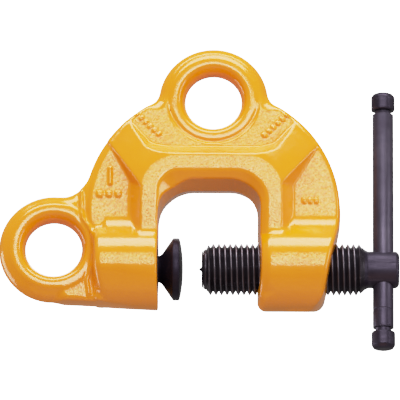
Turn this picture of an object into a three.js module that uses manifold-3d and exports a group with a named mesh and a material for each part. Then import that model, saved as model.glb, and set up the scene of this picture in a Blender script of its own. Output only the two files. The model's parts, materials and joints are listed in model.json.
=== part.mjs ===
// Screw beam clamp with two lifting eyes, a swivelling cam pad and a T-handled clamping screw.
// Millimetres, +Z up. The origin is the centre of the top eye. +X points along the screw towards
// its handle, and the front of the clamp faces -Y. The body is symmetric about the plane Y = 0.

import * as THREE from 'three';
import { mergeVertices } from 'three/addons/utils/BufferGeometryUtils.js';
import { ConvexGeometry } from 'three/addons/geometries/ConvexGeometry.js';
import Module from 'manifold-3d';

const wasm = await Module();
wasm.setup();

// ---------------------------------------------------------------- driving dimensions

const GAP = 0.3; // between pieces that touch on the real clamp

// lifting eyes
const EYE_BORE_R = 15;
const EYE_HALF = 8.5;
const EYE_LIP = 3.5;
const TOP_EYE = { x: 0, z: 0, r: 29.2 };
const SIDE_EYE = { x: -85.3, z: -82.4, r: 29 };
const SPOT_FACE_R = 25;

// C-shaped body
const ARCH = { x: -0.5, z: -62.8, r: 69 };
const THROAT_LEFT = -29.4;
const THROAT_RIGHT = 24.3;
const THROAT_TOP = -47.8;
const THROAT_CORNER_R = { left: 18, right: 15 };
const WEB_HALF = 9.5;
const BAND_HALF = 15.5;
const BAND_LEFT = -40;
const BAND_RIGHT = 36;
const BAND_TOP = -32.5;
const BEVEL = 3;
const MARKS = {
  tall: { x: -55.1, z: -44 },
  left: { x: -60.6, z: -54 },
  right: { x: 48.9, z: -57.6 },
  upperLeft: { x: -38.6, z: -11.3 },
  upperRight: { x: 37.1, z: -11.9 },
};

// bosses, both on the screw axis
const AXIS_Z = -93.2;
const BOSS_R = 22;
const LEFT_BOSS_END = -62.5;
const RIGHT_BOSS_END = 67;
const BOTTOM_Z = AXIS_Z - BOSS_R;
const FOOT_CORNER = { x: 62.5, r: 8 };
const RIGHT_BOSS_FACE = { x: 64.3, lean: 0.15, chamferX: 57.5, chamferLean: 0.9 };

// clamping screw
const PITCH = 3;
const MAJOR_R = 13.5;
const MINOR_R = 11.88;
const CREST_FLAT = 0.375;
const THREAD_PHASE = -0.5;
const THREAD_START = -3;
const THREAD_END = 81.4;
const THREAD_CLEARANCE = 0.36;
const THREAD_SIDES = 16;
const NOSE_X = -4.7;
const NOSE_R = 10.85;
const HEAD_START = 83;
const HEAD_END = 100;
const HEAD_R = 9.6;

// swivelling tip
const TIP_FACE_X = -5.8;
const TIP_R = 9.5;
const TIP_POINT_X = -7.2;
const SPIGOT_R = 5;
const SPIGOT_END = 8;
const TIP_RING = { start: 3.6, width: 1.6, inner: 4.3, outer: 6.6 };

// tommy bar
const BAR_X = 91.4;
const BAR_R = 5.25;
const BAR_TOP = 4.6;
const BAR_BOTTOM = -136.6;
const CAP_LENGTH = 9;
const CAP_R = 6.1;
const GROOVE_LENGTH = 2;
const GROOVE_R = 4.3;
const CAP_SPIGOT_R = 3.2;
const CAP_SPIGOT_LENGTH = 6;

// cam pad and the parts that hold it
const BALL_X = -45;
const BALL_R = 9.5;
const CAM_BORE_R = 13;
const CAM_BORE_END = -57;
const PAD = { apex: -15.9, rimFront: -17.7, rimBack: -21.4, rimR: 16.75, neckX: -29.2, neckR: 7.1 };
const STEM_R = 5.5;
const RETAINER_FRONT = -37.6;
const RETAINER_HOLE_R = 7.7;
const CAM_RING = { start: -37.3, width: 1.8, inner: 10, outer: 14 };
const RUBBER = { start: -33.1, end: -29.1, inner: 9.7, outer: 13.5 };

// ---------------------------------------------------------------- solids from geometry

/** A closed manifold solid from a closed three.js geometry. */
function solid(geometry) {
  const bare = geometry.clone();
  bare.deleteAttribute('normal');
  bare.deleteAttribute('uv');
  const merged = mergeVertices(bare, 1e-4);
  const position = merged.getAttribute('position');
  const index = merged.getIndex().array;
  const triangles = [];
  for (let i = 0; i < index.length; i += 3) {
    const [a, b, c] = [index[i], index[i + 1], index[i + 2]];
    if (a !== b && b !== c && c !== a) triangles.push(a, b, c);
  }
  if (signedVolume(position, triangles) < 0) triangles.reverse();
  return new wasm.Manifold(new wasm.Mesh({
    numProp: 3,
    vertProperties: new Float32Array(position.array),
    triVerts: new Uint32Array(triangles),
  }));
}

function signedVolume(position, triangles) {
  const [a, b, c] = [new THREE.Vector3(), new THREE.Vector3(), new THREE.Vector3()];
  let sum = 0;
  for (let i = 0; i < triangles.length; i += 3) {
    a.fromBufferAttribute(position, triangles[i]);
    b.fromBufferAttribute(position, triangles[i + 1]);
    c.fromBufferAttribute(position, triangles[i + 2]);
    sum += a.dot(b.cross(c));
  }
  return sum / 6;
}

const joined = (solids) => solids.reduce((whole, piece) => whole.add(piece));
const cut = (whole, tools) => tools.reduce((rest, tool) => rest.subtract(tool), whole);

/** A named mesh, ready for the scene graph. */
function part(name, shape, material) {
  const mesh = shape.getMesh();
  const geometry = new THREE.BufferGeometry();
  geometry.setAttribute('position', new THREE.BufferAttribute(new Float32Array(mesh.vertProperties), 3));
  geometry.setIndex(new THREE.BufferAttribute(new Uint32Array(mesh.triVerts), 1));
  geometry.computeVertexNormals();
  const result = new THREE.Mesh(geometry, material);
  result.name = name;
  return result;
}

/** A solid of revolution about the screw axis from [x, radius] pairs. */
function turned(profile, sides = 32) {
  const points = profile.map(([x, radius]) => new THREE.Vector2(radius, x));
  const geometry = new THREE.LatheGeometry(points, sides);
  geometry.rotateZ(-Math.PI / 2);
  geometry.translate(0, 0, AXIS_Z);
  return solid(geometry);
}

const disc = (start, end, radius, sides) =>
  turned([[start, 0], [start, radius], [end, radius], [end, 0]], sides);

const ring = (start, end, inner, outer, sides) =>
  turned([[start, inner], [start, outer], [end, outer], [end, inner], [start, inner]], sides);

/** A solid of revolution about the tommy bar's own axis, from [z, radius] pairs. */
function turnedUpright(profile, sides = 28) {
  const points = profile.map(([z, radius]) => new THREE.Vector2(radius, z));
  const geometry = new THREE.LatheGeometry(points, sides);
  geometry.rotateX(Math.PI / 2);
  geometry.translate(BAR_X, 0, 0);
  return solid(geometry);
}

/** A plate cut to an outline in X and Z, centred on Y = 0, with its edges broken by a bevel. */
function plate(shape, half, bevel, curveSegments = 12) {
  const geometry = new THREE.ExtrudeGeometry(shape, {
    depth: 2 * (half - bevel),
    bevelEnabled: bevel > 0,
    bevelThickness: bevel,
    bevelSize: bevel,
    bevelOffset: -bevel,
    bevelSegments: 1,
    curveSegments,
  });
  geometry.rotateX(Math.PI / 2);
  geometry.translate(0, half - bevel, 0);
  return solid(geometry);
}

/** A cylinder or cone across the clamp, from one Y to another. */
function across(centre, from, to, radiusFrom, radiusTo = radiusFrom, sides = 28) {
  const geometry = new THREE.CylinderGeometry(radiusTo, radiusFrom, to - from, sides);
  geometry.translate(centre.x, (from + to) / 2, 0);
  geometry.translate(0, 0, centre.z);
  return solid(geometry);
}

/** The hull of [x, z, half thickness] corners, mirrored about Y = 0. */
function wedge(corners) {
  const points = corners.flatMap(([x, z, half]) => [
    new THREE.Vector3(x, half, z),
    new THREE.Vector3(x, -half, z),
  ]);
  return solid(new ConvexGeometry(points));
}

// ---------------------------------------------------------------- body outline

/** The centre of a concave fillet that touches two circles from outside. */
function filletCentre(first, second, radius, above) {
  const reach1 = first.r + radius;
  const reach2 = second.r + radius;
  const dx = second.x - first.x;
  const dz = second.z - first.z;
  const apart = Math.hypot(dx, dz);
  const along = (apart * apart + reach1 * reach1 - reach2 * reach2) / (2 * apart);
  const off = Math.sqrt(reach1 * reach1 - along * along) * above;
  return {
    x: first.x + (along * dx - off * dz) / apart,
    z: first.z + (along * dz + off * dx) / apart,
    r: radius,
  };
}

/** The direction, in radians, from one centre to another. */
const bearing = (from, to) => Math.atan2(to.z - from.z, to.x - from.x);

/** The throat, drawn from the left jaw's foot round to the right jaw's foot. */
function drawThroat(shape, footLeft, footRight) {
  const { left, right } = THROAT_CORNER_R;
  shape.lineTo(THROAT_LEFT, footLeft);
  shape.lineTo(THROAT_LEFT, THROAT_TOP - left);
  shape.absarc(THROAT_LEFT + left, THROAT_TOP - left, left, Math.PI, Math.PI / 2, true);
  shape.absarc(THROAT_RIGHT - right, THROAT_TOP - right, right, Math.PI / 2, 0, true);
  shape.lineTo(THROAT_RIGHT, footRight);
}

const ARCH_RIGHT_ANGLE = -0.14;

/** The whole outline, both eyes included. */
function fullOutline() {
  const rightFillet = filletCentre(ARCH, TOP_EYE, 8, -1);
  const leftFillet = filletCentre(ARCH, TOP_EYE, 8, 1);
  const sideFillet = filletCentre(SIDE_EYE, ARCH, 15, 1);
  const footTilt = 0.1;
  const cornerX = FOOT_CORNER.x - FOOT_CORNER.r;
  const shape = new THREE.Shape();
  shape.moveTo(THROAT_RIGHT, BOTTOM_Z);
  shape.lineTo(cornerX, BOTTOM_Z);
  shape.absarc(
    cornerX, BOTTOM_Z + FOOT_CORNER.r, FOOT_CORNER.r,
    -Math.PI / 2, -RIGHT_BOSS_FACE.lean, false,
  );
  shape.absarc(ARCH.x, ARCH.z, ARCH.r, ARCH_RIGHT_ANGLE, bearing(ARCH, rightFillet), false);
  shape.absarc(
    rightFillet.x, rightFillet.z, rightFillet.r,
    bearing(rightFillet, ARCH), bearing(rightFillet, TOP_EYE), true,
  );
  shape.absarc(
    TOP_EYE.x, TOP_EYE.z, TOP_EYE.r,
    bearing(TOP_EYE, rightFillet), bearing(TOP_EYE, leftFillet), false,
  );
  shape.absarc(
    leftFillet.x, leftFillet.z, leftFillet.r,
    bearing(leftFillet, TOP_EYE), bearing(leftFillet, ARCH), true,
  );
  shape.absarc(ARCH.x, ARCH.z, ARCH.r, bearing(ARCH, leftFillet), bearing(ARCH, sideFillet), false);
  shape.absarc(
    sideFillet.x, sideFillet.z, sideFillet.r,
    bearing(sideFillet, ARCH), bearing(sideFillet, SIDE_EYE), true,
  );
  shape.absarc(
    SIDE_EYE.x, SIDE_EYE.z, SIDE_EYE.r,
    bearing(SIDE_EYE, sideFillet), 1.5 * Math.PI - footTilt, false,
  );
  drawThroat(shape, BOTTOM_Z, BOTTOM_Z);
  return shape;
}

/** The thicker web of arch and legs, which ends inside the bosses. */
function webOutline() {
  const shape = new THREE.Shape();
  shape.moveTo(THROAT_RIGHT, AXIS_Z);
  shape.lineTo(RIGHT_BOSS_END - 2, AXIS_Z);
  shape.absarc(ARCH.x, ARCH.z, ARCH.r, ARCH_RIGHT_ANGLE, 3.05, false);
  shape.lineTo(LEFT_BOSS_END, -80);
  shape.lineTo(LEFT_BOSS_END, AXIS_Z);
  drawThroat(shape, AXIS_Z, AXIS_Z);
  return shape;
}

/** The raised band that lines the throat. */
function bandOutline() {
  const cornerR = 20;
  const rise = BAND_TOP - cornerR;
  const shape = new THREE.Shape();
  shape.moveTo(THROAT_RIGHT, AXIS_Z);
  shape.lineTo(BAND_RIGHT, AXIS_Z);
  shape.absarc(BAND_RIGHT - cornerR, rise, cornerR, 0, Math.PI / 2, false);
  shape.absarc(BAND_LEFT + cornerR, rise, cornerR, Math.PI / 2, Math.PI, false);
  shape.lineTo(BAND_LEFT, AXIS_Z);
  drawThroat(shape, AXIS_Z, AXIS_Z);
  return shape;
}

// ---------------------------------------------------------------- body

/** Sloping shoulders that run from the raised band out to the arch's edge, and the leg ribs. */
function shoulders() {
  const edgeHalf = WEB_HALF - 1;
  return [
    wedge([
      [-44.5, -13.5, edgeHalf], [-56.5, -27, edgeHalf],
      [-45.5, -47, BAND_HALF - 1.5], [-40, -53, BAND_HALF], [-26, -33.5, BAND_HALF],
      [-28, -31.5, BAND_HALF - 2],
    ]),
    wedge([
      [43, -13.5, edgeHalf], [55, -27, edgeHalf],
      [42, -47, BAND_HALF - 1.5], [36, -53, BAND_HALF], [22, -33.5, BAND_HALF],
      [24, -31.5, BAND_HALF - 2],
    ]),
    wedge([
      [-46.5, -46, WEB_HALF - 0.5], [-40, -46, BAND_HALF - 0.2],
      [-43, -77, WEB_HALF - 0.5], [-40, -77, BAND_HALF - 0.2],
    ]),
    wedge([
      [43, -46, WEB_HALF - 0.5], [36, -46, BAND_HALF - 0.2],
      [39, -78, WEB_HALF - 0.5], [36, -78, BAND_HALF - 0.2],
    ]),
  ];
}

function bosses() {
  const round = 3.5;
  const left = turned([
    [LEFT_BOSS_END, 0], [LEFT_BOSS_END, BOSS_R - round], [LEFT_BOSS_END + 1, BOSS_R - 1],
    [LEFT_BOSS_END + round, BOSS_R], [THROAT_LEFT - 1, BOSS_R], [THROAT_LEFT, BOSS_R - 1],
    [THROAT_LEFT, 0],
  ], 40);
  const right = turned([
    [THROAT_RIGHT, 0], [THROAT_RIGHT, BOSS_R - 1], [THROAT_RIGHT + 1, BOSS_R],
    [RIGHT_BOSS_END, BOSS_R], [RIGHT_BOSS_END, 0],
  ], 40);
  return [left, cut(right, [slantedEnd()])];
}

/** The tool that leaves the right boss with an outer face that leans inwards towards its foot. */
function slantedEnd() {
  const { x, lean, chamferX, chamferLean } = RIGHT_BOSS_FACE;
  const face = (startX, startZ, tilt) => {
    const depth = 40;
    const geometry = new THREE.BoxGeometry(depth, 80, 120);
    geometry.translate(depth / 2, 0, 0);
    geometry.rotateY(tilt);
    geometry.translate(startX, 0, startZ);
    return solid(geometry);
  };
  return face(x, AXIS_Z, lean).add(face(chamferX, BOTTOM_Z + 3, chamferLean));
}

/** The bore of an eye with its rounded-over lips, as the tools that cut it. */
function eyeBore(centre) {
  const reach = 30;
  const tools = [across(centre, -reach, reach, EYE_BORE_R)];
  for (const side of [-1, 1]) {
    const inner = side * (EYE_HALF - EYE_LIP);
    const outer = side * (EYE_HALF + 1);
    const wide = EYE_BORE_R + EYE_LIP + 1;
    if (side > 0) tools.push(across(centre, inner, outer, EYE_BORE_R, wide));
    else tools.push(across(centre, outer, inner, wide, EYE_BORE_R));
  }
  return tools;
}

/** Flats on both sides of the top eye, sunk into the thicker web around it. */
function spotFaces() {
  return [-1, 1].map((side) => {
    const [low, high] = side > 0 ? [EYE_HALF, 30] : [-30, -EYE_HALF];
    const [rLow, rHigh] = side > 0 ? [SPOT_FACE_R, SPOT_FACE_R + 12] : [SPOT_FACE_R + 12, SPOT_FACE_R];
    return across(TOP_EYE, low, high, rLow, rHigh, 40);
  });
}

/** The stepped blind bore in the left jaw that takes the cam pad's ball joint. */
function camBore() {
  return turned([
    [CAM_BORE_END, 0], [CAM_BORE_END, CAM_BORE_R],
    [CAM_RING.start - 0.2, CAM_BORE_R], [CAM_RING.start - 0.2, CAM_RING.outer + GAP],
    [CAM_RING.start + CAM_RING.width + 0.2, CAM_RING.outer + GAP],
    [CAM_RING.start + CAM_RING.width + 0.2, CAM_BORE_R],
    [RUBBER.start - GAP, CAM_BORE_R], [RUBBER.start - GAP, RUBBER.outer + GAP],
    [THROAT_LEFT + 5, RUBBER.outer + GAP], [THROAT_LEFT + 5, 0],
  ], 36);
}

/** Plain raised bars on the front of the web, where a forging carries its size marks. */
function marks() {
  const raise = 0.6;
  const sunk = 1;
  const bar = (x, z, length, width, turn = 0) => {
    const geometry = new THREE.BoxGeometry(length, raise + sunk, width);
    geometry.rotateY(-turn);
    geometry.translate(x, -(WEB_HALF + (raise - sunk) / 2), z);
    return solid(geometry);
  };
  const row = (count, at, step, length, width, turn) => Array.from(
    { length: count },
    (_, i) => bar(at.x + i * step.x, at.z + i * step.z, length, width, turn),
  );
  const { tall, left, right, upperLeft, upperRight } = MARKS;
  return [
    bar(tall.x, tall.z, 2, 10.2),
    ...row(3, left, { x: 4.9, z: 0 }, 3.1, 3.4),
    ...row(3, right, { x: 3.2, z: 0 }, 2, 2.8),
    ...row(5, upperLeft, { x: 2.4, z: -2.3 }, 1.9, 2.7, -0.77),
    ...row(5, upperRight, { x: -2.4, z: -2.3 }, 1.9, 2.7, 0.77),
  ];
}

function clampBody() {
  const raised = joined([
    plate(fullOutline(), EYE_HALF, BEVEL),
    plate(webOutline(), WEB_HALF, BEVEL),
  ]);
  const spotted = cut(raised, spotFaces());
  const whole = joined([
    spotted,
    plate(bandOutline(), BAND_HALF, BEVEL, 8),
    ...shoulders(),
    ...bosses(),
    ...marks(),
  ]);
  const threadedHole = threadedRod(
    THROAT_RIGHT - 6, RIGHT_BOSS_END + 6, THREAD_CLEARANCE, THREAD_SIDES,
  );
  return cut(whole, [
    ...eyeBore(TOP_EYE),
    ...eyeBore(SIDE_EYE),
    camBore(),
    threadedHole,
    turned([[THROAT_RIGHT - 1, 0], [THROAT_RIGHT - 1, MAJOR_R + 1.6], [THROAT_RIGHT + 1.6, MINOR_R],
      [THROAT_RIGHT + 1.6, 0]], 24),
  ]);
}

// ---------------------------------------------------------------- screw thread

/**
 * A right-handed threaded rod on the screw axis. Its surface is a grid that follows the helix, so
 * every corner of the thread is a true helical edge. clearance moves the surface out square to
 * itself, which turns the rod into the tool that taps its hole.
 */
function threadedRod(start, end, clearance, sides) {
  const flank = Math.tan(Math.PI / 6);
  const crestHalf = CREST_FLAT / 2 + clearance * (1 / Math.cos(Math.PI / 6) - flank);
  const rootHalf = crestHalf + (MAJOR_R - MINOR_R) * flank;
  const steps = [
    [-crestHalf, MAJOR_R + clearance],
    [crestHalf, MAJOR_R + clearance],
    [rootHalf, MINOR_R + clearance],
    [PITCH - rootHalf, MINOR_R + clearance],
  ];
  const firstTurn = Math.floor(start / PITCH) - 2;
  const turns = Math.ceil((end - start) / PITCH) + 4;
  const positions = [];
  const rows = turns * steps.length;
  for (let row = 0; row <= rows + steps.length; row += 1) {
    const [offset, radius] = steps[row % steps.length];
    const turn = firstTurn + Math.floor(row / steps.length);
    for (let side = 0; side < sides; side += 1) {
      const angle = (2 * Math.PI * side) / sides;
      positions.push(
        PITCH * (turn + side / sides) + offset + THREAD_PHASE,
        radius * Math.cos(angle),
        radius * Math.sin(angle),
      );
    }
  }
  const at = (row, side) => (side < sides ? row * sides + side : (row + steps.length) * sides);
  const index = [];
  for (let row = 0; row < rows; row += 1) {
    for (let side = 0; side < sides; side += 1) {
      index.push(at(row, side), at(row, side + 1), at(row + 1, side + 1));
      index.push(at(row, side), at(row + 1, side + 1), at(row + 1, side));
    }
  }
  closeHelixEnd(positions, index, at, 0, sides, steps.length, false);
  closeHelixEnd(positions, index, at, rows, sides, steps.length, true);
  const geometry = new THREE.BufferGeometry();
  geometry.setAttribute('position', new THREE.Float32BufferAttribute(positions, 3));
  geometry.setIndex(index);
  geometry.translate(0, 0, AXIS_Z);
  const trim = disc(start, end, MAJOR_R + clearance + 1, 24);
  return solid(geometry).intersect(trim);
}

/** Fans one ragged end of the helical grid to a point on the axis. */
function closeHelixEnd(positions, index, at, row, sides, perTurn, flip) {
  const loop = [];
  for (let side = 0; side < sides; side += 1) loop.push(at(row, side));
  for (let step = perTurn; step > 0; step -= 1) loop.push(at(row + step, 0));
  const x = positions[3 * at(row, sides / 2)];
  const centre = positions.length / 3;
  positions.push(x, 0, 0);
  loop.forEach((corner, i) => {
    const next = loop[(i + 1) % loop.length];
    if (flip) index.push(centre, corner, next);
    else index.push(centre, next, corner);
  });
}

// ---------------------------------------------------------------- screw group

function mainScrew() {
  const rod = threadedRod(THREAD_START, THREAD_END, 0, THREAD_SIDES);
  const envelope = turned([
    [THREAD_START - 1, 0], [THREAD_START - 1, NOSE_R], [THREAD_START, NOSE_R + 0.3],
    [THREAD_START + 3, MAJOR_R + 0.6], [THREAD_END - 3, MAJOR_R + 0.6],
    [THREAD_END, HEAD_R + 1.3], [THREAD_END, 0],
  ]);
  const nose = turned([
    [NOSE_X, 0], [NOSE_X, NOSE_R - 0.5], [NOSE_X + 1, NOSE_R], [THREAD_START + 1, NOSE_R],
    [THREAD_START + 1, 0],
  ]);
  const head = turned([
    [THREAD_END - 1, 0], [THREAD_END - 1, HEAD_R + 1.6], [THREAD_END, HEAD_R + 1.3],
    [HEAD_START, HEAD_R], [HEAD_END - 1.5, HEAD_R], [HEAD_END - 0.4, HEAD_R - 0.5],
    [HEAD_END, HEAD_R - 1.5], [HEAD_END, 0],
  ]);
  const tipBore = turned([
    [NOSE_X - 5, 0], [NOSE_X - 5, SPIGOT_R + GAP],
    [TIP_RING.start - 0.2, SPIGOT_R + GAP], [TIP_RING.start - 0.2, TIP_RING.outer + GAP],
    [TIP_RING.start + TIP_RING.width + 0.2, TIP_RING.outer + GAP],
    [TIP_RING.start + TIP_RING.width + 0.2, SPIGOT_R + GAP],
    [SPIGOT_END + GAP, SPIGOT_R + GAP], [SPIGOT_END + 2.5, 0],
  ], 24);
  const barHole = turnedUpright([
    [AXIS_Z - 30, 0], [AXIS_Z - 30, BAR_R + 0.4], [AXIS_Z + 30, BAR_R + 0.4], [AXIS_Z + 30, 0],
  ]);
  return cut(joined([rod.intersect(envelope), nose, head]), [tipBore, barHole]);
}

function screwTip() {
  const grooveR = TIP_RING.inner - GAP;
  return turned([
    [TIP_POINT_X, 0], [TIP_POINT_X + 0.2, 0.5], [TIP_FACE_X, 1.3], [TIP_FACE_X, TIP_R],
    [NOSE_X - GAP, TIP_R + 0.8], [NOSE_X - GAP, SPIGOT_R],
    [TIP_RING.start - 0.2, SPIGOT_R], [TIP_RING.start - 0.2, grooveR],
    [TIP_RING.start + TIP_RING.width + 0.2, grooveR],
    [TIP_RING.start + TIP_RING.width + 0.2, SPIGOT_R],
    [SPIGOT_END - 0.6, SPIGOT_R], [SPIGOT_END, SPIGOT_R - 0.6], [SPIGOT_END, 0],
  ], 28);
}

/** A retaining ring with the gap that lets it spring into its groove. */
function splitRing({ start, width, inner, outer }, slot) {
  const gap = new THREE.BoxGeometry(width + 2, 2 * outer, slot);
  gap.translate(start + width / 2, outer, AXIS_Z);
  return ring(start, start + width, inner, outer, 28).subtract(solid(gap));
}

function tommyBar() {
  const low = BAR_BOTTOM + CAP_LENGTH;
  const high = BAR_TOP - CAP_LENGTH;
  return turnedUpright([
    [low - CAP_SPIGOT_LENGTH, 0], [low - CAP_SPIGOT_LENGTH, CAP_SPIGOT_R], [low + GAP, CAP_SPIGOT_R],
    [low + GAP, GROOVE_R], [low + GROOVE_LENGTH, GROOVE_R], [low + GROOVE_LENGTH + 0.4, BAR_R],
    [high - GROOVE_LENGTH - 0.4, BAR_R], [high - GROOVE_LENGTH, GROOVE_R], [high - GAP, GROOVE_R],
    [high - GAP, CAP_SPIGOT_R], [high + CAP_SPIGOT_LENGTH, CAP_SPIGOT_R],
    [high + CAP_SPIGOT_LENGTH, 0],
  ]);
}

/** An end cap with a blind hole for the bar's spigot. end is its outer end, way is +1 if that is up. */
function barCap(end, way) {
  const mouth = end - way * CAP_LENGTH;
  const bottom = mouth + way * (CAP_SPIGOT_LENGTH + GAP);
  return turnedUpright([
    [bottom, 0], [bottom, CAP_SPIGOT_R + GAP], [mouth, CAP_SPIGOT_R + GAP],
    [mouth, CAP_R - 0.6], [mouth + way * 0.6, CAP_R], [end - way * 2, CAP_R],
    [end - way * 0.6, CAP_R - 1.4], [end, CAP_R - 3], [end, 0],
  ]);
}

// ---------------------------------------------------------------- cam pad group

/** Points [x, radius] along a sphere about the ball's centre, between two radii on one side. */
function ballArc(radius, side, fromR, toR, steps) {
  const from = Math.asin(fromR / radius);
  const to = Math.asin(toR / radius);
  return Array.from({ length: steps + 1 }, (_, i) => {
    const angle = from + ((to - from) * i) / steps;
    return [BALL_X + side * radius * Math.cos(angle), radius * Math.sin(angle)];
  });
}

function camPad() {
  return turned([
    ...ballArc(BALL_R, -1, 0, BALL_R, 5),
    ...ballArc(BALL_R, 1, BALL_R, STEM_R, 4).slice(1),
    [-32, STEM_R], [-31, PAD.neckR], [PAD.neckX, PAD.neckR],
    [-27, 8.2], [-25, 10.6], [-23.2, 13.6], [PAD.rimBack, PAD.rimR - 0.4],
    [PAD.rimBack + 0.5, PAD.rimR], [PAD.rimFront, PAD.rimR], [-16.6, 11], [PAD.apex, 5],
    [PAD.apex, 0],
  ], 32);
}

function camSeat() {
  const clearance = BALL_R + GAP;
  return turned([
    [CAM_BORE_END + GAP, 0], [CAM_BORE_END + GAP, CAM_BORE_R - GAP],
    [BALL_X - 0.15, CAM_BORE_R - GAP], ...ballArc(clearance, -1, clearance, 0, 5),
  ], 32);
}

function camRetainer() {
  const clearance = BALL_R + GAP;
  return turned([
    [BALL_X + 0.15, CAM_BORE_R - GAP], [RETAINER_FRONT, CAM_BORE_R - GAP],
    [RETAINER_FRONT, RETAINER_HOLE_R], ...ballArc(clearance, 1, RETAINER_HOLE_R, clearance - 0.001, 4),
    [BALL_X + 0.15, CAM_BORE_R - GAP],
  ], 32);
}

function centringRing() {
  const { start, end, inner, outer } = RUBBER;
  return ring(start, end, inner, outer, 32);
}

// ---------------------------------------------------------------- assembly

const enamel = new THREE.MeshStandardMaterial({ color: 0xe8b03a, roughness: 0.35, metalness: 0.05 });
const blackOxide = new THREE.MeshStandardMaterial({ color: 0x1d1a20, roughness: 0.45, metalness: 0.7 });
const barSteel = new THREE.MeshStandardMaterial({ color: 0x4a4250, roughness: 0.5, metalness: 0.7 });
const springSteel = new THREE.MeshStandardMaterial({ color: 0x6a6a70, roughness: 0.35, metalness: 0.9 });
const rubber = new THREE.MeshStandardMaterial({ color: 0x111111, roughness: 0.85, metalness: 0 });

const group = new THREE.Group();
group.add(part('clamp_body', clampBody(), enamel));

const screwGroup = new THREE.Group();
screwGroup.add(part('main_screw', mainScrew(), blackOxide));
screwGroup.add(part('screw_tip', screwTip(), blackOxide));
screwGroup.add(part('tip_retaining_ring', splitRing(TIP_RING, 1.5), springSteel));
group.add(screwGroup);

const handleGroup = new THREE.Group();
handleGroup.add(part('tommy_bar', tommyBar(), barSteel));
handleGroup.add(part('bar_cap_upper', barCap(BAR_TOP, 1), barSteel));
handleGroup.add(part('bar_cap_lower', barCap(BAR_BOTTOM, -1), barSteel));
group.add(handleGroup);

const camGroup = new THREE.Group();
camGroup.add(part('cam_pad', camPad(), blackOxide));
camGroup.add(part('cam_seat', camSeat(), springSteel));
camGroup.add(part('cam_retainer', camRetainer(), springSteel));
camGroup.add(part('cam_snap_ring', splitRing(CAM_RING, 4), springSteel));
camGroup.add(part('cam_centring_ring', centringRing(), rubber));
group.add(camGroup);

export default group;
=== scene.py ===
import json
import math

import bmesh
import bpy
import numpy as np
from mathutils import Matrix, Vector


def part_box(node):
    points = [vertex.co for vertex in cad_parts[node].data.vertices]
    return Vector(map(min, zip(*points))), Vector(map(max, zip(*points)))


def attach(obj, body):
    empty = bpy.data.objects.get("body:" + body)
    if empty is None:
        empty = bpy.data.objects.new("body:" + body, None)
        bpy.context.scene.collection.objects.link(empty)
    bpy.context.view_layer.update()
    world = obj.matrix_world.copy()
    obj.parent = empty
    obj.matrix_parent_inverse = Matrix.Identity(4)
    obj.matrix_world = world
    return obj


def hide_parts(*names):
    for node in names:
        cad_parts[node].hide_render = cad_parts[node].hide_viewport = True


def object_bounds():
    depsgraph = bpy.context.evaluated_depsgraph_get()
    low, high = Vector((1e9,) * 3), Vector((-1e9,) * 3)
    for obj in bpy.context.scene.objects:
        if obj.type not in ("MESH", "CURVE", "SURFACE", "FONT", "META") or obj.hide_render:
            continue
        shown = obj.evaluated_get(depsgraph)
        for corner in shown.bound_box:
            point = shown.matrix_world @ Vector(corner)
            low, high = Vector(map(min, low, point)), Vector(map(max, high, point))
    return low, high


# Screw beam clamp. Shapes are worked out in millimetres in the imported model's own frame, whose origin
# is the centre of the top eye, and are turned into metres as each mesh is made. +X runs along the
# screw to its handle, +Y to the back and +Z up to the top eye.

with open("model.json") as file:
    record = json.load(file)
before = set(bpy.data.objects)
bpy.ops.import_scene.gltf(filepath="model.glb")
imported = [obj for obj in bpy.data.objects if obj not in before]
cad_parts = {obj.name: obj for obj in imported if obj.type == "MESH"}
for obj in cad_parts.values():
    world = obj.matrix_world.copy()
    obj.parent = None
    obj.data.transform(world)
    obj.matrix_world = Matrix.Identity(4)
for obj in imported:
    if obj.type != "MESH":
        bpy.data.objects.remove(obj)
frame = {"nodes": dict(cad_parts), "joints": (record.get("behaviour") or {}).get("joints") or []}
cad_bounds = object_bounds()
MM = 0.001
JOINTS = {joint["name"]: joint for joint in frame["joints"]}

# ---------------------------------------------------------------- dimensions, millimetres

# Circles of the silhouette: centre x, centre z, radius.
TOP_EYE = (0.0, 0.0, 29.5)
SIDE_EYE = (-85.2, -82.6, 29.4)
ARCH = (-0.5, -62.8, 69.0)

# The eyes' bores, the crest of the ring round each, and the lip that breaks the bore's edge.
BORE_R = 15.1
RING_R = 20.6
LIP_R = 3.5

# Half thicknesses of the forging, whose back mirrors its front.
EYE_HALF = 8.5
PANEL_HALF = 8.7
SMALL_WEB_HALF = 7.7
BAND_HALF = 15.5
BAND_RISE = 2.6

# The bosses on the screw's axis, and the throat between them.
AXIS_Z = JOINTS["screw_turn"]["pos_m"][2] / MM
BOSS_R = 22.2
BOTTOM_Z = AXIS_Z - BOSS_R
LEFT_BOSS_END = -65.4
LEFT_BOSS_TAPER = 0.045
CAM_BORE_R = 13.8
CAM_BORE_END = -57
TAP_DRILL_R = 11.6
THROAT_LEFT = -29.0
THROAT_RIGHT = 24.0
THROAT_TOP = -49.5
UNDER_ALL = -140

# How far most edges are broken, and the fillets that join the bosses to the plate and its shoulder.
EDGE_BREAK = 0.9
WIDE_FILLET, TIGHT_FILLET = 8.5, 3.0

# Slanted cuts: sideways run for each millimetre of depth, and the slant's length over that depth.
CHAMFER_RUN, CHAMFER_SLANT = 1.36, 1.69
LIP_RUN, LIP_SLANT = 0.95, 1.38

# The screw, from its nose to its head, and the tip that turns in its nose.
PITCH = 3.0
PHASE = -0.5
MAJOR_R = 13.8
MINOR_R = 11.45
THREAD_START, THREAD_END = -3.3, 81.4
FLANK_SHARES = (0.33, 0.67, 0.94)
NOSE_END = -4.75
NOSE_R = 10.85
SOCKET_R = 5.3
RELIEF_R = 10.9
HEAD_R = 9.9
HEAD_END = 100.0
TIP_FACE = -5.8
SPIGOT_R = 5.0

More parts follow.
